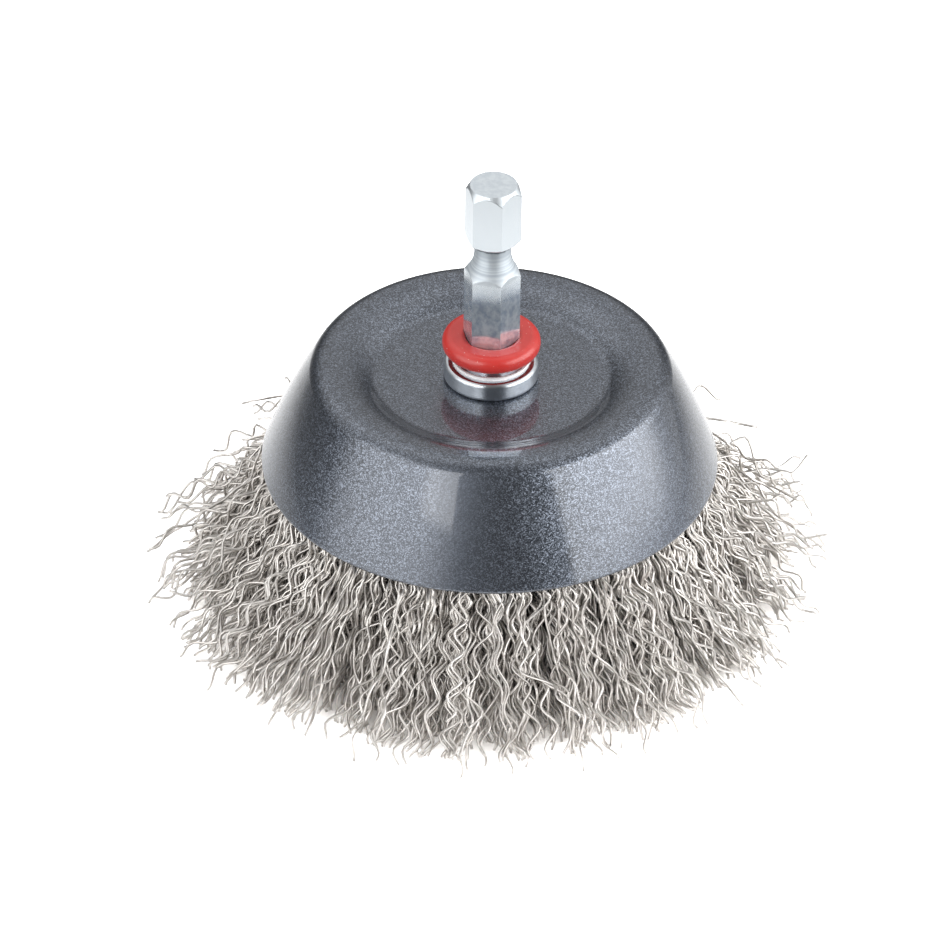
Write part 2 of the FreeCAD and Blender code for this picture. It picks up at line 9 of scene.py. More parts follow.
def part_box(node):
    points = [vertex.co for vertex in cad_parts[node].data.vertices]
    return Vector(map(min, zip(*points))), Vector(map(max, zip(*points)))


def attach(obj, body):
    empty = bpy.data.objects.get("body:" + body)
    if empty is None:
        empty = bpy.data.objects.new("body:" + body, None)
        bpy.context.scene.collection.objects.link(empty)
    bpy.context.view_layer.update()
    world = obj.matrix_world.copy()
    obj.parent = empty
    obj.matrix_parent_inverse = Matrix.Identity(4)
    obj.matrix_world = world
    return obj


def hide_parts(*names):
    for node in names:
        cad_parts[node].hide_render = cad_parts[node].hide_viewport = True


# Wire cup brush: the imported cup, collar, ring and shank get their finishes, and the fill is grown
# as real crimped wires, each doubled over the hoop inside the cup. Metres, in the frame's own axes.

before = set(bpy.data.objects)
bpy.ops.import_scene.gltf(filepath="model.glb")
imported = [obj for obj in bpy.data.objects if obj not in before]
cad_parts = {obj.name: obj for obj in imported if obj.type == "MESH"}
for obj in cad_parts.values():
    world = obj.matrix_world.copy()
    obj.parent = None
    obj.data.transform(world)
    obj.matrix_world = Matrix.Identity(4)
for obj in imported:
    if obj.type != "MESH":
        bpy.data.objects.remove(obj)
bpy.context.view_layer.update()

MM = 0.001

# Places read from the frame.
HOOP_LOW, HOOP_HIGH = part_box("wire_hoop")
HOOP_WIRE = HOOP_HIGH.z - HOOP_LOW.z
HOOP_RADIUS = HOOP_HIGH.x - HOOP_WIRE / 2
HOOP_HEIGHT = (HOOP_HIGH.z + HOOP_LOW.z) / 2
RIM_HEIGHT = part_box("cup")[0].z
RETAINER_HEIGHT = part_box("wire_retainer")[0].z
DISH_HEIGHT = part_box("collar")[0].z
TIP_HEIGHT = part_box("hex_shank")[1].z


def linear(colour):
    """Turn an sRGB hex colour into the linear colour that a shader takes."""
    channels = [int(colour[place:place + 2], 16) / 255 for place in (1, 3, 5)]
    return [c / 12.92 if c <= 0.04045 else ((c + 0.055) / 1.055) ** 2.4 for c in channels] + [1.0]


def per_metre(size_mm):
    """Return the texture scale at which one cell or grain of the pattern measures the given size."""
    return 1 / (size_mm * MM)


def add_node(tree, kind, settings=None, inputs=None):
    """Add a node, set its properties, and fill its sockets with values or with other nodes' outputs."""
    node = tree.nodes.new(kind)
    for name, value in (settings or {}).items():
        setattr(node, name, value)
    for name, value in (inputs or {}).items():
        if isinstance(value, bpy.types.NodeSocket):
            tree.links.new(value, node.inputs[name])
        else:
            node.inputs[name].default_value = value
    return node


def start_material(name):
    """Start a material and return it with its node tree and its object coordinates."""
    material = bpy.data.materials.new(name)
    material.use_nodes = True
    tree = material.node_tree
    tree.nodes.clear()
    return material, tree, add_node(tree, "ShaderNodeTexCoord").outputs["Object"]


def end_material(material, shader):
    """Send the shader to the material's output and return the material."""
    add_node(material.node_tree, "ShaderNodeOutputMaterial", inputs={"Surface": shader.outputs[0]})
    return material


# Camera: the photograph's own view, found from the dish, the rim and the axis. The distance is in
# metres, and the focal length, the frame and the dish's middle are in pixels of the photograph.

VIEW_AZIMUTH = math.radians(12.9)
VIEW_ELEVATION = math.radians(35.86)
VIEW_ROLL = math.radians(0.78)
VIEW_DISTANCE = 1.0
PHOTO_SIZE = 950
FOCAL_PIXELS = 7881
DISH_CENTRE_PIXEL = (490.9, 375.3)
SENSOR_WIDTH = 36
FARTHEST_SEEN = 20


def place_camera():
    """Stand the camera so that the middle of the dish falls on its pixel of the photograph."""
    right = Vector((math.cos(VIEW_AZIMUTH), math.sin(VIEW_AZIMUTH), 0))
    ahead = Vector((-math.sin(VIEW_AZIMUTH) * math.cos(VIEW_ELEVATION),
                    math.cos(VIEW_AZIMUTH) * math.cos(VIEW_ELEVATION),
                    -math.sin(VIEW_ELEVATION)))
    up = right.cross(ahead)
    rolled_right = right * math.cos(VIEW_ROLL) + up * math.sin(VIEW_ROLL)
    rolled_up = up * math.cos(VIEW_ROLL) - right * math.sin(VIEW_ROLL)
    across = (DISH_CENTRE_PIXEL[0] - PHOTO_SIZE / 2) * VIEW_DISTANCE / FOCAL_PIXELS
    above = (PHOTO_SIZE / 2 - DISH_CENTRE_PIXEL[1]) * VIEW_DISTANCE / FOCAL_PIXELS
    camera = bpy.data.objects.new("photo_camera", bpy.data.cameras.new("photo_camera"))
    bpy.context.scene.collection.objects.link(camera)
    bpy.context.scene.camera = camera
    camera.data.sensor_width = SENSOR_WIDTH
    camera.data.lens = SENSOR_WIDTH * FOCAL_PIXELS / PHOTO_SIZE
    camera.data.clip_end = FARTHEST_SEEN
    turn = Matrix((rolled_right, rolled_up, -ahead)).transposed().to_4x4()
    dish_centre = Vector((0, 0, DISH_HEIGHT))
    stand = dish_centre - rolled_right * across - rolled_up * above - ahead * VIEW_DISTANCE
    camera.matrix_world = Matrix.Translation(stand) @ turn


# Studio: a white board under the brush, in a dim room. The board's sizes are in metres from the
# brush, and it is as bright as its three levels say: to the eye, and mirrored near and far. The
# mirrored fall from near to far is a painted falloff of light.

BOARD_WIDTH = 0.32
BOARD_FRONT = 0.115
BOARD_BACK = 0.6
BOARD_LIGHT_FALLOFF = (0.045, 0.17)
BOARD_SEEN = 2.6
BOARD_MIRRORED_NEAR = 1.45
BOARD_MIRRORED_FAR = 0.15


def white_board_material():
    """Matt white board that stays white to the eye and keeps the brush's soft shadow.

    Polished parts show it white near the brush and grey towards its far edges: a painted falloff of
    light, seen only in reflections.
    """
    material, tree, place = start_material("matt_white_board")
    grain = add_node(tree, "ShaderNodeTexNoise",
                     inputs={"Vector": place, "Scale": per_metre(2.0)}).outputs["Fac"]
    paint = add_node(tree, "ShaderNodeMix", {"data_type": "RGBA"},
                     {"Factor": grain, "A": linear("#E8E8E8"), "B": linear("#EDEDED")}).outputs["Result"]
    ground = add_node(tree, "ShaderNodeNewGeometry").outputs["Position"]
    away = add_node(tree, "ShaderNodeVectorMath", {"operation": "LENGTH"}, {0: ground}).outputs["Value"]
    # Painted light: in reflections the board's colour falls from near to far, as if less light reached
    # its far edges.
    mirrored_light_falloff = add_node(tree, "ShaderNodeMapRange", {"interpolation_type": "SMOOTHSTEP"}, {
        "Value": away, "From Min": BOARD_LIGHT_FALLOFF[0], "From Max": BOARD_LIGHT_FALLOFF[1],
        "To Min": BOARD_MIRRORED_NEAR, "To Max": BOARD_MIRRORED_FAR}).outputs["Result"]
    rays = add_node(tree, "ShaderNodeLightPath").outputs
    mirrored = add_node(tree, "ShaderNodeMath", {"operation": "MAXIMUM"},
                        {0: rays["Is Glossy Ray"], 1: rays["Is Transmission Ray"]}).outputs[0]
    white = add_node(tree, "ShaderNodeMix", {"data_type": "RGBA"},
                     {"Factor": mirrored, "A": paint, "B": mirrored_light_falloff}).outputs["Result"]
    white = add_node(tree, "ShaderNodeMix", {"data_type": "RGBA"}, {
        "Factor": rays["Is Camera Ray"], "A": white, "B": [BOARD_SEEN] * 3 + [1]}).outputs["Result"]
    return end_material(material, add_node(tree, "ShaderNodeBsdfDiffuse", inputs={"Color": white}))


def build_board():
    """Lay the board under the wires' tips, reaching a little past the brush on the camera's side."""
    bpy.ops.object.select_all(action="DESELECT")
    bpy.ops.mesh.primitive_plane_add(size=1)
    board = bpy.context.object
    board.name = "white_board"
    board.scale = (BOARD_WIDTH, BOARD_FRONT + BOARD_BACK, 1)
    middle = (BOARD_BACK - BOARD_FRONT) / 2
    board.location = (-math.sin(VIEW_AZIMUTH) * middle, math.cos(VIEW_AZIMUTH) * middle, 0)
    board.rotation_euler = (0, 0, VIEW_AZIMUTH)
    board.data.materials.append(white_board_material())


# Light: every azimuth is counted from the camera's, rightwards, and all angles are in degrees.
# A glow is its azimuth, elevation, half width and strength. A softbox is its azimuth, elevation,
# sides (left, right, below, above) and strength, and a side is its distance from the middle and
# the width that it fades over.

ROOM_LEVEL = 0.05
GLOWS = [
    (180, 54, 52, 0.62),  # far wall, which the dish mirrors
    (0, 90, 100, 0.15),  # ceiling
    (-100, 50, 48, 0.7),  # high left wall
    (100, 50, 48, 0.5),  # high right wall
    (-54, 12, 42, 2.1),  # low left wall, which lights the left of the cup
    (112, 10, 42, 0.6),  # low right wall, past the large softbox
]
SOFTBOXES = [
    (-28.5, 25, ((2.5, 10), (9, 1.5), (9.5, 4), (12, 3)), 3.0),  # narrow, left of the camera
    (70, 21, ((28, 6), (22, 26), (17, 13), (17, 3)), 3.35),  # large, to the right
]


def heading_from_brush(azimuth, elevation):
    """Return the unit vector from the brush in a direction of the room."""
    heading = VIEW_AZIMUTH + math.radians(azimuth)
    climb = math.radians(elevation)
    level = math.cos(climb)
    return Vector((math.sin(heading) * level, -math.cos(heading) * level, math.sin(climb)))


def soft_glow(tree, direction, azimuth, elevation, half_width, strength):
    """Return a round glow that fades out smoothly at its half width."""
    facing = add_node(tree, "ShaderNodeVectorMath", {"operation": "DOT_PRODUCT"},
                      {0: direction, 1: heading_from_brush(azimuth, elevation)}).outputs["Value"]
    return add_node(tree, "ShaderNodeMapRange", {"interpolation_type": "SMOOTHSTEP"}, {
        "Value": facing, "From Min": math.cos(math.radians(half_width)), "From Max": 1.0,
        "To Min": 0.0, "To Max": strength}).outputs["Result"]


def softbox(tree, direction, azimuth, elevation, sides, strength):
    """Return a four-sided softbox of even light."""
    ahead = heading_from_brush(azimuth, elevation)
    right = heading_from_brush(azimuth + 90, 0)
    above = right.cross(ahead)
    if above.z < 0:
        above.negate()
    facing = add_node(tree, "ShaderNodeVectorMath", {"operation": "DOT_PRODUCT"},
                      {0: direction, 1: ahead}).outputs["Value"]
    # Nothing shines from the half of the room that lies away from the softbox.
    light = add_node(tree, "ShaderNodeMapRange", inputs={
        "Value": facing, "From Min": 0.0, "From Max": 0.02, "To Max": strength}).outputs["Result"]
    for (distance, fade), side in zip(sides, (-right, right, -above, above)):
        across = add_node(tree, "ShaderNodeVectorMath", {"operation": "DOT_PRODUCT"},
                          {0: direction, 1: side}).outputs["Value"]
        slope = add_node(tree, "ShaderNodeMath", {"operation": "DIVIDE"},
                         {0: across, 1: facing}).outputs[0]
        inside = add_node(tree, "ShaderNodeMapRange", {"interpolation_type": "SMOOTHSTEP"}, {
            "Value": slope, "From Min": math.tan(math.radians(distance)),
            "From Max": math.tan(math.radians(distance + fade)),
            "To Min": 1.0, "To Max": 0.0}).outputs["Result"]
        light = add_node(tree, "ShaderNodeMath", {"operation": "MULTIPLY"},
                         {0: light, 1: inside}).outputs[0]
    return light


def light_room():
    """Light the brush by the room's glows and softboxes, and show the eye a white room."""
    world = bpy.data.worlds.new("studio_room")
    bpy.context.scene.world = world
    world.use_nodes = True
    tree = world.node_tree
    tree.nodes.clear()
    direction = add_node(tree, "ShaderNodeTexCoord").outputs["Generated"]
    lights = [soft_glow(tree, direction, *glow) for glow in GLOWS]
    lights += [softbox(tree, direction, *box) for box in SOFTBOXES]
    total = ROOM_LEVEL
    for light in lights:
        total = add_node(tree, "ShaderNodeMath", {"operation": "ADD"}, {0: total, 1: light}).outputs[0]
    to_eye = add_node(tree, "ShaderNodeLightPath").outputs["Is Camera Ray"]
    strength = add_node(tree, "ShaderNodeMix",
                        inputs={"Factor": to_eye, "A": total, "B": 1.0}).outputs["Result"]
    glow = add_node(tree, "ShaderNodeBackground",
                    inputs={"Color": linear("#FFFFFF"), "Strength": strength})
    add_node(tree, "ShaderNodeOutputWorld", inputs={"Surface": glow.outputs[0]})


# Finishes. A pixel of the photograph is 0.13 mm at the brush, so a pattern that is finer on the real
# one is drawn as coarse as it needs to show, and its comment says so.

def metallic_lacquer():
    """Anthracite lacquer with aluminium flake under a clear coat, sprayed on pressed steel.

    The eye sees a dark grey that sparkles finely and glows beside each softbox, under sharp reflections.
    """
    material, tree, place = start_material("metallic_lacquer_sprayed")
    # Real flake is about 0.03 mm across; it is drawn at a pixel's size.
    flake = add_node(tree, "ShaderNodeTexVoronoi", {"feature": "F1"},
                     {"Vector": place, "Scale": per_metre(0.12)}).outputs["Color"]
    chance = add_node(tree, "ShaderNodeSeparateXYZ", inputs={0: flake}).outputs["X"]
    bright = add_node(tree, "ShaderNodeMath", {"operation": "POWER"}, {0: chance, 1: 2.5}).outputs[0]
    tint = add_node(tree, "ShaderNodeMix", {"data_type": "RGBA"},
                    {"Factor": bright, "A": linear("#474B52"), "B": linear("#929AA8")}).outputs["Result"]
    # Each flake lies a little askew.
    normal = add_node(tree, "ShaderNodeNewGeometry").outputs["Normal"]
    lean = add_node(tree, "ShaderNodeVectorMath", {"operation": "SUBTRACT"},
                    {0: flake, 1: (0.5, 0.5, 0.5)}).outputs[0]
    lean = add_node(tree, "ShaderNodeVectorMath", {"operation": "SCALE"},
                    {0: lean, "Scale": 0.2}).outputs[0]
    askew = add_node(tree, "ShaderNodeVectorMath", {"operation": "ADD"}, {0: normal, 1: lean}).outputs[0]
    askew = add_node(tree, "ShaderNodeVectorMath", {"operation": "NORMALIZE"}, {0: askew}).outputs[0]
    return end_material(material, add_node(tree, "ShaderNodeBsdfPrincipled", inputs={
        "Base Color": tint, "Metallic": 0.9, "Roughness": 0.37, "Normal": askew,
        "Coat Weight": 1.0, "Coat Roughness": 0.02, "Coat IOR": 1.5}))


# Marks on the shank. The bloom fades out between two depths below the tip. The rest is measured from
# the top of the catch neck: where the neck fades into the hexagon, how deep the head's painted shade
# goes, and the rise, raggedness and fading half width of the dark line under the head, which is a
# burr with painted contact shadow.
BLOOM_FADE = (16 * MM, 13.6 * MM)
NECK_TOP = TIP_HEIGHT - 8.6 * MM
NECK_FOOT_FADE = (4.8 * MM, 3.4 * MM)
HEAD_SHADE_DEPTH = 2.2 * MM
BURR_AND_SHADOW_RISE = 0.1 * MM
BURR_AND_SHADOW_RAGGED = 0.5 * MM
BURR_AND_SHADOW_EDGE = (0.1 * MM, 0.25 * MM)


def shank_zones(tree, place):
    """Return the shank's zones as shares from 0 to 1, and the height that they go by.

    They are the bloomed bar above the collar, the catch neck, the painted shade under the head and the
    ragged burr there with its painted contact shadow, the sheared end, and the tip with its bevel.
    """
    height = add_node(tree, "ShaderNodeSeparateXYZ", inputs={0: place}).outputs["Z"]
    normal = add_node(tree, "ShaderNodeNewGeometry").outputs["Normal"]
    upward = add_node(tree, "ShaderNodeSeparateXYZ", inputs={0: normal}).outputs["Z"]
    low = add_node(tree, "ShaderNodeMapRange", inputs={
        "Value": height, "To Min": 1.0, "To Max": 0.0,
        "From Min": TIP_HEIGHT - BLOOM_FADE[0],
        "From Max": TIP_HEIGHT - BLOOM_FADE[1]}).outputs["Result"]

    under_head = add_node(tree, "ShaderNodeMath", {"operation": "LESS_THAN"},
                          {0: height, 1: NECK_TOP}).outputs[0]
    above_hex = add_node(tree, "ShaderNodeMapRange", inputs={
        "Value": height, "From Min": NECK_TOP - NECK_FOOT_FADE[0],
        "From Max": NECK_TOP - NECK_FOOT_FADE[1]}).outputs["Result"]
    neck = add_node(tree, "ShaderNodeMath", {"operation": "MULTIPLY"},
                    {0: above_hex, 1: under_head}).outputs[0]
    shade = add_node(tree, "ShaderNodeMapRange", {"interpolation_type": "SMOOTHSTEP"}, {
        "Value": height, "From Min": NECK_TOP - HEAD_SHADE_DEPTH, "From Max": NECK_TOP,
        "To Min": 0.0, "To Max": 0.45}).outputs["Result"]
    shade = add_node(tree, "ShaderNodeMath", {"operation": "MULTIPLY"},
                     {0: shade, 1: under_head}).outputs[0]

    # The dark ragged line under the head: partly a burr, partly painted contact shadow.
    ragged = add_node(tree, "ShaderNodeTexNoise",
                      inputs={"Vector": place, "Scale": per_metre(0.45), "Detail": 3.0}).outputs["Fac"]
    burr_and_shadow = add_node(tree, "ShaderNodeMath", {"operation": "MULTIPLY_ADD"},
                    {0: ragged, 1: BURR_AND_SHADOW_RAGGED, 2: height}).outputs[0]
    burr_and_shadow = add_node(tree, "ShaderNodeMath", {"operation": "SUBTRACT"},
                    {0: burr_and_shadow, 1: NECK_TOP + BURR_AND_SHADOW_RISE}).outputs[0]
    burr_and_shadow = add_node(tree, "ShaderNodeMath", {"operation": "ABSOLUTE"}, {0: burr_and_shadow}).outputs[0]
    burr_and_shadow = add_node(tree, "ShaderNodeMapRange", inputs={
        "Value": burr_and_shadow, "From Min": BURR_AND_SHADOW_EDGE[0], "From Max": BURR_AND_SHADOW_EDGE[1],
        "To Min": 0.85, "To Max": 0.0}).outputs["Result"]

    sheared = add_node(tree, "ShaderNodeMath", {"operation": "GREATER_THAN"},
                       {0: upward, 1: 0.99}).outputs[0]
    tip = add_node(tree, "ShaderNodeMapRange", {"interpolation_type": "SMOOTHSTEP"}, {
        "Value": upward, "From Min": 0.1, "From Max": 0.4}).outputs["Result"]
    return {"height": height, "low": low, "neck": neck, "shade": shade, "burr_and_shadow": burr_and_shadow,
            "sheared": sheared, "tip": tip}


def zinc_plate():
    """Bright zinc plate on cold-drawn bar, with a turned neck and a dull sheared end.

    The eye sees pale blue-grey satin with lines drawn along the bar and cloudy bloom towards the collar,
    and on the neck fine rings, painted shade under the head and a ragged burr darkened by painted
    contact shadow.
    """
    material, tree, place = start_material("zinc_plate_on_drawn_bar")
    zone = shank_zones(tree, place)

    # The die's lines and the tool's rings are about 0.1 mm apart and are drawn three times as coarse.
    drawn = add_node(tree, "ShaderNodeMapping",
                     inputs={"Vector": place, "Scale": (1, 1, 0.1)}).outputs[0]
    lines = add_node(tree, "ShaderNodeTexNoise",
                     inputs={"Vector": drawn, "Scale": per_metre(0.35), "Detail": 4.0}).outputs["Fac"]
    rings = add_node(tree, "ShaderNodeTexNoise", {"noise_dimensions": "1D"},
                     {"W": zone["height"], "Scale": per_metre(0.3), "Detail": 3.0}).outputs["Fac"]
    clouded = add_node(tree, "ShaderNodeMapping",
                       inputs={"Vector": place, "Scale": (1, 1, 0.75)}).outputs[0]
    cloud = add_node(tree, "ShaderNodeTexNoise", inputs={
        "Vector": clouded, "Scale": per_metre(0.9), "Detail": 4.0, "Roughness": 0.6}).outputs["Fac"]
    patches = add_node(tree, "ShaderNodeMapRange", inputs={
        "Value": cloud, "From Min": 0.38, "From Max": 0.62}).outputs["Result"]

    # Colour: the plate, then bloom, painted shade, the burr with its painted contact shadow, turned
    # rings and the sheared end's dull patches.
    bloom = add_node(tree, "ShaderNodeMath", {"operation": "MULTIPLY"},
                     {0: patches, 1: zone["low"]}).outputs[0]
    turned = add_node(tree, "ShaderNodeMapRange", inputs={
        "Value": rings, "From Min": 0.35, "From Max": 0.65, "To Max": 0.55}).outputs["Result"]
    turned = add_node(tree, "ShaderNodeMath", {"operation": "MULTIPLY"},
                      {0: turned, 1: zone["neck"]}).outputs[0]
    dull = add_node(tree, "ShaderNodeMath", {"operation": "MULTIPLY"},
                    {0: patches, 1: zone["sheared"]}).outputs[0]
    dull = add_node(tree, "ShaderNodeMath", {"operation": "MULTIPLY"}, {0: dull, 1: 0.4}).outputs[0]
    tint = add_node(tree, "ShaderNodeMix", {"data_type": "RGBA"},
                    {"Factor": lines, "A": linear("#DAE2E7"), "B": linear("#E2E8EC")}).outputs["Result"]
    for share, colour in ((bloom, "#AEBBC9"), (zone["shade"], "#6B757E"), (zone["burr_and_shadow"], "#44484C"),
                          (turned, "#B4BEC8"), (dull, "#B7C0C9")):
        tint = add_node(tree, "ShaderNodeMix", {"data_type": "RGBA"},
                        {"Factor": share, "A": tint, "B": linear(colour)}).outputs["Result"]

    # Where the plate is bloomed, sheared, bevelled or turned it shines less like metal. The bloomed
    # bar is glossier than the rest, and the tip and the neck are rougher.
    metal, sheen = 1.0, 0.26
    for name, change in (("low", -0.3), ("sheared", -0.45), ("tip", -0.14), ("neck", -0.12)):
        metal = add_node(tree, "ShaderNodeMath", {"operation": "MULTIPLY_ADD"},
                         {0: zone[name], 1: change, 2: metal}).outputs[0]
    for name, change in (("low", -0.15), ("tip", 0.14), ("neck", 0.3)):
        sheen = add_node(tree, "ShaderNodeMath", {"operation": "MULTIPLY_ADD"},
                         {0: zone[name], 1: change, 2: sheen}).outputs[0]

    # Relief: lines along the bar and rings round the neck, shallower in the bloom.
    spun = add_node(tree, "ShaderNodeMath", {"operation": "MULTIPLY"},
                    {0: zone["neck"], 1: 0.6}).outputs[0]
    grooves = add_node(tree, "ShaderNodeMix",
                       inputs={"Factor": zone["neck"], "A": lines, "B": rings}).outputs["Result"]
    depth = add_node(tree, "ShaderNodeMath", {"operation": "MULTIPLY_ADD"},
                     {0: zone["low"], 1: -0.16, 2: 0.2}).outputs[0]
    edges = add_node(tree, "ShaderNodeBevel", {"samples": 6}, {"Radius": 0.2 * MM}).outputs[0]
    relief = add_node(tree, "ShaderNodeBump", inputs={
        "Height": grooves, "Strength": depth, "Distance": 0.05 * MM, "Normal": edges}).outputs[0]
    lathe = add_node(tree, "ShaderNodeTangent", {"direction_type": "RADIAL", "axis": "Z"}).outputs[0]
    return end_material(material, add_node(tree, "ShaderNodeBsdfPrincipled", inputs={
        "Base Color": tint, "Metallic": metal, "Roughness": sheen, "Normal": relief,
        "Anisotropic": spun, "Anisotropic Rotation": 0.25, "Tangent": lathe}))


# The collar's step under the colour ring, and its torn edge with a painted highlight: how far outside
# the step it lies, how ragged it is, and where its half width fades.
STEP_RADIUS = 4.9 * MM
TORN_HIGHLIGHT_OUTSIDE = 0.18 * MM
TORN_HIGHLIGHT_RAGGED = 0.5 * MM
TORN_HIGHLIGHT_EDGE = (0.14 * MM, 0.22 * MM)


def turned_steel():
    """Steel turned on a lathe and bright plated.

    The eye sees a wall that glows up and down along its turning, a brighter flat top with fine rings,
    and a torn edge round the step under the colour ring, painted near white as a highlight.
    """
    material, tree, place = start_material("bright_plated_turned_steel")
    spot = add_node(tree, "ShaderNodeSeparateXYZ", inputs={0: place}).outputs
    flat = add_node(tree, "ShaderNodeCombineXYZ", inputs={0: spot["X"], 1: spot["Y"]}).outputs[0]
    radius = add_node(tree, "ShaderNodeVectorMath", {"operation": "LENGTH"}, {0: flat}).outputs["Value"]
    # The tool's rings are about 0.1 mm apart and are drawn twice as coarse.
    ring = add_node(tree, "ShaderNodeCombineXYZ", inputs={0: radius, 1: spot["Z"]}).outputs[0]
    rings = add_node(tree, "ShaderNodeTexNoise",
                     inputs={"Vector": ring, "Scale": per_metre(0.22), "Detail": 2.0}).outputs["Fac"]
    relief = add_node(tree, "ShaderNodeBump",
                      inputs={"Height": rings, "Strength": 0.5, "Distance": 0.03 * MM}).outputs[0]

    ragged = add_node(tree, "ShaderNodeTexNoise",
                      inputs={"Vector": place, "Scale": per_metre(0.5), "Detail": 3.0}).outputs["Fac"]
    # Torn edge of the plating, painted near white as a highlight.
    torn_edge_highlight = add_node(tree, "ShaderNodeMath", {"operation": "MULTIPLY_ADD"},
                    {0: ragged, 1: TORN_HIGHLIGHT_RAGGED, 2: radius}).outputs[0]
    torn_edge_highlight = add_node(tree, "ShaderNodeMath", {"operation": "SUBTRACT"},
                    {0: torn_edge_highlight, 1: STEP_RADIUS + TORN_HIGHLIGHT_OUTSIDE}).outputs[0]
    torn_edge_highlight = add_node(tree, "ShaderNodeMath", {"operation": "ABSOLUTE"}, {0: torn_edge_highlight}).outputs[0]
    torn_edge_highlight = add_node(tree, "ShaderNodeMapRange", inputs={
        "Value": torn_edge_highlight, "From Min": TORN_HIGHLIGHT_EDGE[0], "From Max": TORN_HIGHLIGHT_EDGE[1],
        "To Min": 1.0, "To Max": 0.0}).outputs["Result"]

    cloud = add_node(tree, "ShaderNodeTexNoise",
                     inputs={"Vector": place, "Scale": per_metre(1.5)}).outputs["Fac"]
    tint = add_node(tree, "ShaderNodeMix", {"data_type": "RGBA"},
                    {"Factor": cloud, "A": linear("#C6CED6"), "B": linear("#E6EBEF")}).outputs["Result"]
    # Painted highlight: the torn edge is mixed towards near white.
    tint = add_node(tree, "ShaderNodeMix", {"data_type": "RGBA"},
                    {"Factor": torn_edge_highlight, "A": tint, "B": linear("#FAFBFC")}).outputs["Result"]
    normal = add_node(tree, "ShaderNodeNewGeometry").outputs["Normal"]
    upward = add_node(tree, "ShaderNodeSeparateXYZ", inputs={0: normal}).outputs["Z"]
    top = add_node(tree, "ShaderNodeMapRange",
                   inputs={"Value": upward, "From Min": 0.9, "From Max": 0.99}).outputs["Result"]
    spun = add_node(tree, "ShaderNodeMath", {"operation": "MULTIPLY_ADD"},
                    {0: top, 1: -0.75, 2: 0.86}).outputs[0]
    sheen = add_node(tree, "ShaderNodeMath", {"operation": "MULTIPLY_ADD"},
                     {0: top, 1: -0.16, 2: 0.29}).outputs[0]
    sheen = add_node(tree, "ShaderNodeMath", {"operation": "MULTIPLY_ADD"},
                     {0: torn_edge_highlight, 1: 0.5, 2: sheen}).outputs[0]
    metal = add_node(tree, "ShaderNodeMath", {"operation": "MULTIPLY_ADD"},
                     {0: torn_edge_highlight, 1: -0.6, 2: 1.0}).outputs[0]
    lathe = add_node(tree, "ShaderNodeTangent", {"direction_type": "RADIAL", "axis": "Z"}).outputs[0]
    return end_material(material, add_node(tree, "ShaderNodeBsdfPrincipled", inputs={
        "Base Color": tint, "Metallic": metal, "Roughness": sheen, "Normal": relief,
        "Anisotropic": spun, "Anisotropic Rotation": 0.25, "Tangent": lathe}))


def red_rubber():
    """Red rubber, moulded.

    The eye sees a deep even red with a soft broad sheen on the crown and a few pale specks of dust.
    """
    material, tree, place = start_material("moulded_red_rubber")
    cloud = add_node(tree, "ShaderNodeTexNoise",
                     inputs={"Vector": place, "Scale": per_metre(1.2), "Detail": 3.0}).outputs["Fac"]
    tint = add_node(tree, "ShaderNodeMix", {"data_type": "RGBA"},
                    {"Factor": cloud, "A": linear("#CB322D"), "B": linear("#D8423C")}).outputs["Result"]
    speck = add_node(tree, "ShaderNodeTexNoise",
                     inputs={"Vector": place, "Scale": per_metre(0.3), "Detail": 1.0}).outputs["Fac"]
    dust = add_node(tree, "ShaderNodeMapRange", inputs={
        "Value": speck, "From Min": 0.72, "From Max": 0.78, "To Max": 0.7}).outputs["Result"]
    tint = add_node(tree, "ShaderNodeMix", {"data_type": "RGBA"},
                    {"Factor": dust, "A": tint, "B": linear("#F0C8C2")}).outputs["Result"]
    relief = add_node(tree, "ShaderNodeBump",
                      inputs={"Height": cloud, "Strength": 0.15, "Distance": 0.05 * MM}).outputs[0]
    return end_material(material, add_node(tree, "ShaderNodeBsdfPrincipled", inputs={
        "Base Color": tint, "Roughness": 0.29, "IOR": 1.6, "Normal": relief,
        "Subsurface Weight": 0.12, "Subsurface Scale": 0.6 * MM}))


def pressed_steel():
    """Cold-rolled sheet, pressed and lightly oiled.

    The eye sees plain mid-grey steel with blotches where the oil has dried.
    """
    material, tree, place = start_material("pressed_cold_rolled_steel")
    blotch = add_node(tree, "ShaderNodeTexNoise",
                      inputs={"Vector": place, "Scale": per_metre(3.0), "Detail": 5.0}).outputs["Fac"]
    tint = add_node(tree, "ShaderNodeMix", {"data_type": "RGBA"},
                    {"Factor": blotch, "A": linear("#7F8286"), "B": linear("#B4B6B8")}).outputs["Result"]
    sheen = add_node(tree, "ShaderNodeMapRange",
                     inputs={"Value": blotch, "To Min": 0.3, "To Max": 0.5}).outputs["Result"]
    return end_material(material, add_node(tree, "ShaderNodeBsdfPrincipled", inputs={
        "Base Color": tint, "Metallic": 1.0, "Roughness": sheen}))


def stainless_wire():
    """Stainless wire, cold drawn and crimped between rollers.

    The eye sees warm grey satin with a thin bright line along each bend.
    """
    material, tree, place = start_material("drawn_stainless_wire")
    tarnish = add_node(tree, "ShaderNodeTexNoise",
                       inputs={"Vector": place, "Scale": per_metre(1.6), "Detail": 3.0}).outputs["Fac"]
    tint = add_node(tree, "ShaderNodeMix", {"data_type": "RGBA"}, {
        "Factor": tarnish, "A": linear("#DAD4CE"), "B": linear("#F7F4F0")}).outputs["Result"]
    sheen = add_node(tree, "ShaderNodeMapRange",
                     inputs={"Value": tarnish, "To Min": 0.28, "To Max": 0.42}).outputs["Result"]
    return end_material(material, add_node(tree, "ShaderNodeBsdfPrincipled", inputs={
        "Base Color": tint, "Metallic": 0.88, "Roughness": sheen}))


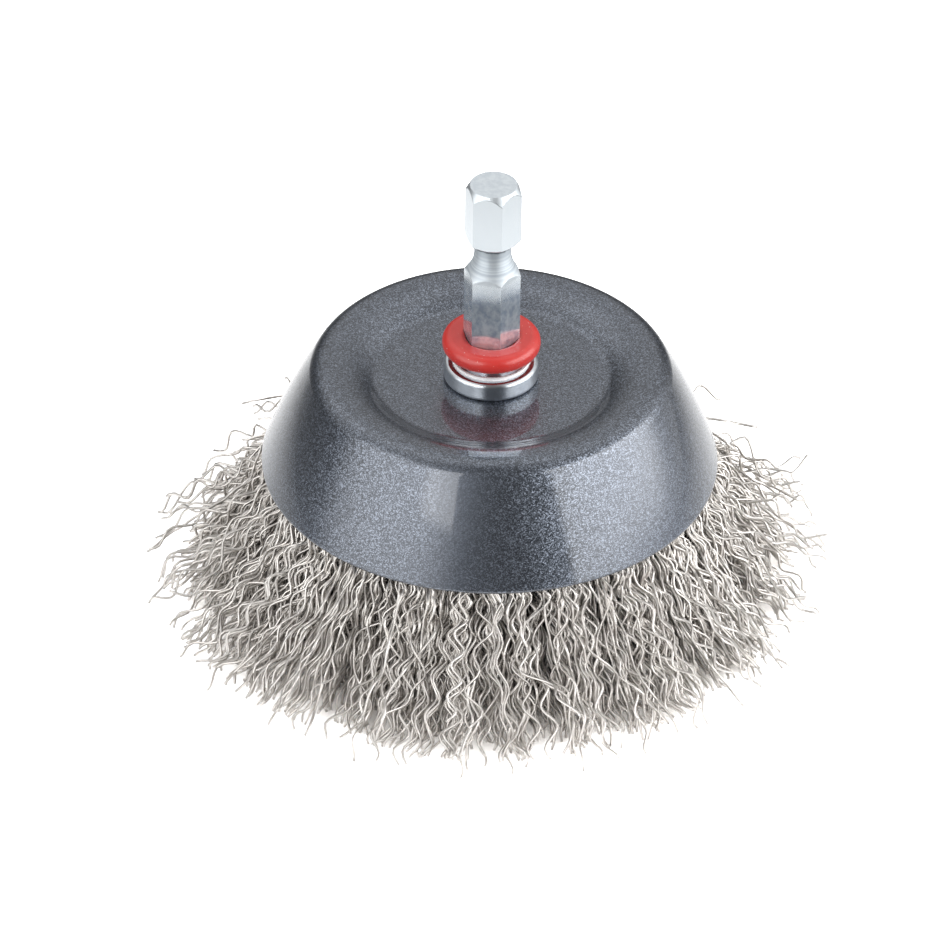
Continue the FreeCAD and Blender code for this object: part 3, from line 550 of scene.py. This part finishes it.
def finish_frame():
    """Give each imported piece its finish."""
    pressed = pressed_steel()
    finishes = {
        "cup": metallic_lacquer(),
        "hex_shank": zinc_plate(),
        "collar": turned_steel(),
        "colour_ring": red_rubber(),
        "wire_retainer": pressed,
        "rivet_washer": pressed,
        "wire_hoop": pressed,
    }
    for name, material in finishes.items():
        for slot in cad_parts[name].material_slots:
            slot.material = material


# Wires. Each is one length, doubled over the hoop: the outer leg runs down the wall of the cup and
# out under the rim, the inner leg down past the retainer. Places are in millimetres in the wire's own
# radial plane: distance from the axis, sideways, height.

WIRE_DIAMETER = 0.33
WIRES_IN_BUNCH = 74
CUT_FACE = 0.16  # lowest height of a tip, half a wire above the work
REACH_LIMIT = 44.6

# How bunches, and the groups in them, follow each other round the brush. A group's turn in its bunch
# and its depth in the fill step on by shares of one that don't come round to the same place, and the
# depth is raised to a power that crowds the wires towards the cup's wall. Turns are in degrees.
FIRST_SEED = 4100
FIRST_BUNCH_TURN = 5.0
BUNCH_TURN = 15.0
TURN_STEPS = {"group": 0.618034, "bunch": 0.37}
DEPTH_STEPS = {"group": 0.754878, "bunch": 0.21}
DEPTH_POWER = 0.6
GROUP_SIZES = [1, 2, 3, 3, 4, 5]
TUFTS_IN_BUNCH = 3
TUFT_SPREAD = 8.0

# A wire's line. Each gap and tip is the distance from the axis of the fill's inmost wire, and how
# much farther its outmost one is. The wires pile up on the hoop, and a long reach lifts its tip.
OUTER_GAP = (22.6, 4.9)
INNER_GAP = (22.2, -4.4)
OUTER_TIP = (34.6, 4.2)
INNER_TIP = (33.4, -6.2)
HOOP_CLEARANCE = 0.05
HOOP_PILE = 1.0
HOOP_TURNS = (150, 90, 30)  # degrees round the hoop, from the inner leg to the outer
GAP_RISE = 0.4
LONGEST_REACH = 43.2
LIFT_FROM = 40
LIFT = 0.6
OUTER_TIP_RISE = 0.8
INNER_TIP_RISE = 0.7
INNER_TIP_SCATTER = 0.6
FLARE = (5, 6)  # mean and scatter of the tip's turn outwards, in degrees
SIDEWAYS_SCATTER = 0.8
MIDDLE_RADIUS = 28

# The bend outside the cup: how far it follows the line inside and the line of the tip, as shares of
# its own length. Then the points that the straight and the bend are drawn with.
BEND_FROM_GAP = 0.3
BEND_TO_TIP = 0.33
STRAIGHT_POINTS = 9
BEND_POINTS = 14

# The wires reach farthest on the side that faces the photograph's camera, and less far behind.
FULL_SIDE = -90 + math.degrees(VIEW_AZIMUTH)
WORN_SIDE_LOSS = 2.2

# The crimp. Its depth grows from a held share to the whole over the first free length outside the
# cup. Then how much groups differ, and how much the wires of one group do.
WAVE_LENGTH = (4.3, 6.2)
WAVE_DEPTH = (0.54, 0.86)
WANDER_LENGTH = (12, 20)
HELD_WAVE = 0.55
FREEING_LENGTH = 4
DRIFT_POWER = 1.3
GROUP_SCATTER = {"twist": 0.35, "drift": 0.7, "reach": 2.5, "wander": 0.35, "wander_slant": 0.6}
MEMBER_SCATTER = {
    "length": 0.06, "depth": 0.05, "phase": 0.2, "plane": 0.15, "drift": 0.4, "reach": 0.6}
INNER_DRIFT = 0.9
DEPTH_SCATTER = 0.05

# Points along a leg: few inside the cup, and outside it some for each wave, fewest where other
# wires hide it.
INSIDE_POINTS = 7
LEAST_STEPS = 6
OUTER_STEPS = 8
DEEP_STEPS = 6
INNER_STEPS = 5
DEEP_SHARE = 0.4

# Stray wires, one in some groups, which stand off from the fill: their chance, the reach of their
# tips, the tips' lowest height and how much higher they can be, and their least depth share.
STRAY_CHANCE = 0.3
STRAY_REACH = (40.5, REACH_LIMIT - 0.3)
STRAY_HEIGHT = (0.6, 8.4)
STRAY_DEPTH = 0.75
STRAY_SCATTER = {"drift": 2.2, "wander": 0.9}

# The section has three corners, which stand out far enough to give it the round wire's mean width.
SECTION_CORNERS = 3
SECTION_REACH = 0.6


def leg_line(start, gap, tip, flare):
    """Return points from the hoop's side straight to the gap out of the cup, then curving to the tip."""
    start, gap, tip = np.array(start), np.array(gap), np.array(tip)
    inside = (gap - start) / np.linalg.norm(gap - start)
    length = np.linalg.norm(tip - gap)
    fall = (tip - gap) / length
    end_fall = np.array([fall[0] * math.cos(flare) - fall[1] * math.sin(flare),
                         fall[0] * math.sin(flare) + fall[1] * math.cos(flare)])
    near = gap + inside * length * BEND_FROM_GAP
    far = tip - end_fall * length * BEND_TO_TIP
    share = np.linspace(0, 1, BEND_POINTS)[:, None]
    bend = ((1 - share) ** 3 * gap + 3 * (1 - share) ** 2 * share * near
            + 3 * (1 - share) * share ** 2 * far + share ** 3 * tip)
    straight = start + (gap - start) * np.linspace(0, 1, STRAIGHT_POINTS)[:-1, None]
    return np.vstack([straight, bend])


def crimped_leg(line, gap_height, wave, steps_per_wave):
    """Return a leg's points with its crimp, spaced closely where it shows and widely inside the cup."""
    steps = np.linalg.norm(np.diff(line, axis=0), axis=1)
    travel = np.concatenate([[0], np.cumsum(steps)])
    leaves = np.interp(-gap_height, -line[:, 1], travel)
    hidden = np.linspace(0, leaves, INSIDE_POINTS)[:-1]
    shown_steps = max(LEAST_STEPS, round((travel[-1] - leaves) / wave["length"] * steps_per_wave))
    along = np.concatenate([hidden, np.linspace(leaves, travel[-1], shown_steps + 1)])
    across = np.interp(along, travel, line[:, 0])
    height = np.interp(along, travel, line[:, 1])
    slope = np.gradient(np.stack([across, height], axis=1), along, axis=0)
    slope /= np.linalg.norm(slope, axis=1)[:, None]

    free = np.clip((along - leaves) / FREEING_LENGTH + 0.5, 0, 1)
    share = np.clip((along - leaves) / (travel[-1] - leaves), 0, 1)
    depth = wave["depth"] * (HELD_WAVE + (1 - HELD_WAVE) * free)
    swing = depth * np.sin(2 * math.pi * along / wave["length"] + wave["phase"])
    wander = wave["wander"] * free * np.sin(
        2 * math.pi * along / wave["wander_length"] + wave["wander_phase"])
    plane = wave["plane"] + wave["twist"] * share
    sideways = swing * np.cos(plane) + wander + wave["drift"] * share ** DRIFT_POWER
    out = swing * np.sin(plane) + wander * wave["wander_slant"]
    return np.stack([across - out * slope[:, 1], sideways, height + out * slope[:, 0]], axis=1)


def doubled_wire(draw, depth_share, wave, back_wave, stray):
    """Return one wire's points from its inner tip, over the hoop, to its outer tip."""
    hoop_radius, hoop_height = HOOP_RADIUS / MM, HOOP_HEIGHT / MM
    rim, retainer = RIM_HEIGHT / MM, RETAINER_HEIGHT / MM
    wrap = HOOP_WIRE / MM / 2 + WIRE_DIAMETER / 2 + HOOP_CLEARANCE + HOOP_PILE * depth_share
    outer_gap = (OUTER_GAP[0] + OUTER_GAP[1] * depth_share, rim + GAP_RISE)
    inner_gap = (INNER_GAP[0] + INNER_GAP[1] * depth_share, retainer)
    reach = OUTER_TIP[0] + OUTER_TIP[1] * depth_share + wave["reach"]
    outer_tip = (min(reach, LONGEST_REACH),
                 CUT_FACE + draw.random() * OUTER_TIP_RISE + max(0, reach - LIFT_FROM) * LIFT)
    if stray:
        outer_tip = (draw.uniform(*STRAY_REACH), STRAY_HEIGHT[0] + STRAY_HEIGHT[1] * draw.random() ** 3)
    inner_tip = (INNER_TIP[0] + INNER_TIP[1] * depth_share + draw.gauss(0, INNER_TIP_SCATTER),
                 CUT_FACE + draw.random() * INNER_TIP_RISE)
    flare = math.radians(draw.gauss(*FLARE))
    outer = leg_line((hoop_radius + wrap, hoop_height), outer_gap, outer_tip, flare)
    inner = leg_line((hoop_radius - wrap, hoop_height), inner_gap, inner_tip, 0)
    outer_leg = crimped_leg(outer, rim, wave, OUTER_STEPS if depth_share > DEEP_SHARE else DEEP_STEPS)
    inner_leg = crimped_leg(inner, retainer, back_wave, INNER_STEPS)
    turns = np.radians(HOOP_TURNS)
    over = np.stack([hoop_radius + wrap * np.cos(turns), np.zeros(len(turns)),
                     hoop_height + wrap * np.sin(turns)], axis=1)
    return np.vstack([inner_leg[::-1], over, outer_leg])


def turned_to(points, heading):
    """Turn a wire's points to its heading round the axis, and keep them within the brush's reach."""
    x = points[:, 0] * math.cos(heading) - points[:, 1] * math.sin(heading)
    y = points[:, 0] * math.sin(heading) + points[:, 1] * math.cos(heading)
    reach = np.hypot(x, y)
    keep = np.minimum(1, REACH_LIMIT / reach)
    height = np.maximum(points[:, 2], CUT_FACE)
    return np.stack([x * keep, y * keep, height], axis=1) * MM


def group_wave(draw, gather, worn):
    """Return the crimp that the wires of one group share, with its drift towards the nearest tuft."""
    return {
        "length": draw.uniform(*WAVE_LENGTH),
        "depth": draw.uniform(*WAVE_DEPTH),
        "phase": draw.uniform(0, 2 * math.pi),
        "plane": draw.uniform(-math.pi / 2, math.pi / 2),
        "twist": draw.gauss(0, GROUP_SCATTER["twist"]),
        "drift": gather + draw.gauss(0, GROUP_SCATTER["drift"]),
        "reach": draw.gauss(0, GROUP_SCATTER["reach"]) - worn,
        "wander": draw.gauss(0, GROUP_SCATTER["wander"]),
        "wander_length": draw.uniform(*WANDER_LENGTH),
        "wander_phase": draw.uniform(0, 2 * math.pi),
        "wander_slant": draw.gauss(0, GROUP_SCATTER["wander_slant"]),
    }


def group_wires(draw, shared, depth_share, heading, stray):
    """Return the wires of one group, which were crimped side by side and stay nearly in step."""
    wires = []
    for member in range(draw.choice(GROUP_SIZES)):
        wave = dict(shared)
        for trait, scatter in MEMBER_SCATTER.items():
            wave[trait] += draw.gauss(0, scatter)
        back_wave = dict(wave, phase=draw.uniform(0, 2 * math.pi), drift=draw.gauss(0, INNER_DRIFT))
        share = min(1.0, max(0.0, depth_share + draw.gauss(0, DEPTH_SCATTER)))
        loose = stray and member == 0
        if loose:
            for trait, scatter in STRAY_SCATTER.items():
                wave[trait] = draw.gauss(0, scatter)
            share = max(share, STRAY_DEPTH)
        points = doubled_wire(draw, share, wave, back_wave, loose)
        turn = math.radians(heading) + draw.gauss(0, SIDEWAYS_SCATTER) / MIDDLE_RADIUS
        wires.append(turned_to(points, turn))
    return wires


def bunch_wires(number):
    """Return the wires of one bunch, grown in groups of one to five that lean towards its tufts."""
    draw = random.Random(FIRST_SEED + number)
    tufts = [(place + draw.uniform(0.15, 0.85)) / TUFTS_IN_BUNCH for place in range(TUFTS_IN_BUNCH)]
    wires = []
    group = 0
    while len(wires) < WIRES_IN_BUNCH:
        group += 1
        turn = (group * TURN_STEPS["group"] + number * TURN_STEPS["bunch"]) % 1.0
        heading = FIRST_BUNCH_TURN + BUNCH_TURN * (number + turn - 0.5)
        worn = WORN_SIDE_LOSS * (0.5 - 0.5 * math.cos(math.radians(heading - FULL_SIDE)))
        depth = (group * DEPTH_STEPS["group"] + number * DEPTH_STEPS["bunch"]) % 1.0
        depth_share = depth ** DEPTH_POWER
        stray = draw.random() < STRAY_CHANCE
        tuft = min(tufts, key=lambda place: abs(place - turn))
        shared = group_wave(draw, (tuft - turn) * TUFT_SPREAD * depth_share, worn)
        wires += group_wires(draw, shared, depth_share, heading, stray)
    return wires[:WIRES_IN_BUNCH]


def wire_section():
    """Return the wire's three-cornered section, as wide on average as the round wire."""
    section = bpy.data.objects.new("wire_section", bpy.data.curves.new("wire_section", "CURVE"))
    corners = section.data.splines.new("POLY")
    corners.points.add(SECTION_CORNERS - 1)
    corners.use_cyclic_u = True
    reach = WIRE_DIAMETER * SECTION_REACH * MM
    for index, point in enumerate(corners.points):
        heading = 2 * math.pi * index / SECTION_CORNERS
        point.co = (reach * math.cos(heading), reach * math.sin(heading), 0, 1)
    bpy.context.scene.collection.objects.link(section)
    return section


def grow_bunch(name, number, section, material):
    """Draw each wire as a line, give it the section, and turn the bunch into one closed mesh."""
    drawing = bpy.data.curves.new(f"crimped_{name}", "CURVE")
    drawing.dimensions = "3D"
    drawing.bevel_mode = "OBJECT"
    drawing.bevel_object = section
    drawing.use_fill_caps = True
    for points in bunch_wires(number):
        line = drawing.splines.new("POLY")
        line.points.add(len(points) - 1)
        line.points.foreach_set("co", np.hstack([points, np.ones((len(points), 1))]).ravel())
        line.use_smooth = True
    bunch = bpy.data.objects.new(f"crimped_{name}", drawing)
    bpy.context.scene.collection.objects.link(bunch)
    bpy.ops.object.select_all(action="DESELECT")
    bunch.select_set(True)
    bpy.context.view_layer.objects.active = bunch
    bpy.ops.object.convert(target="MESH")
    bpy.ops.object.mode_set(mode="EDIT")
    bpy.ops.mesh.select_all(action="SELECT")
    bpy.ops.mesh.remove_doubles(threshold=0.0005 * MM)
    bpy.ops.mesh.normals_make_consistent(inside=False)
    bpy.ops.object.mode_set(mode="OBJECT")
    bunch.data.materials.clear()
    bunch.data.materials.append(material)
    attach(bunch, "root")
    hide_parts(name)


def grow_wires():
    """Grow every bunch of the fill in place of its plain solid."""
    section = wire_section()
    material = stainless_wire()
    names = sorted(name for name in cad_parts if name.startswith("wire_bunch_"))
    for number, name in enumerate(names):
        grow_bunch(name, number, section, material)
    bpy.data.objects.remove(section)


place_camera()
build_board()
light_room()
finish_frame()
grow_wires()

bpy.context.scene.view_settings.view_transform = "Standard"
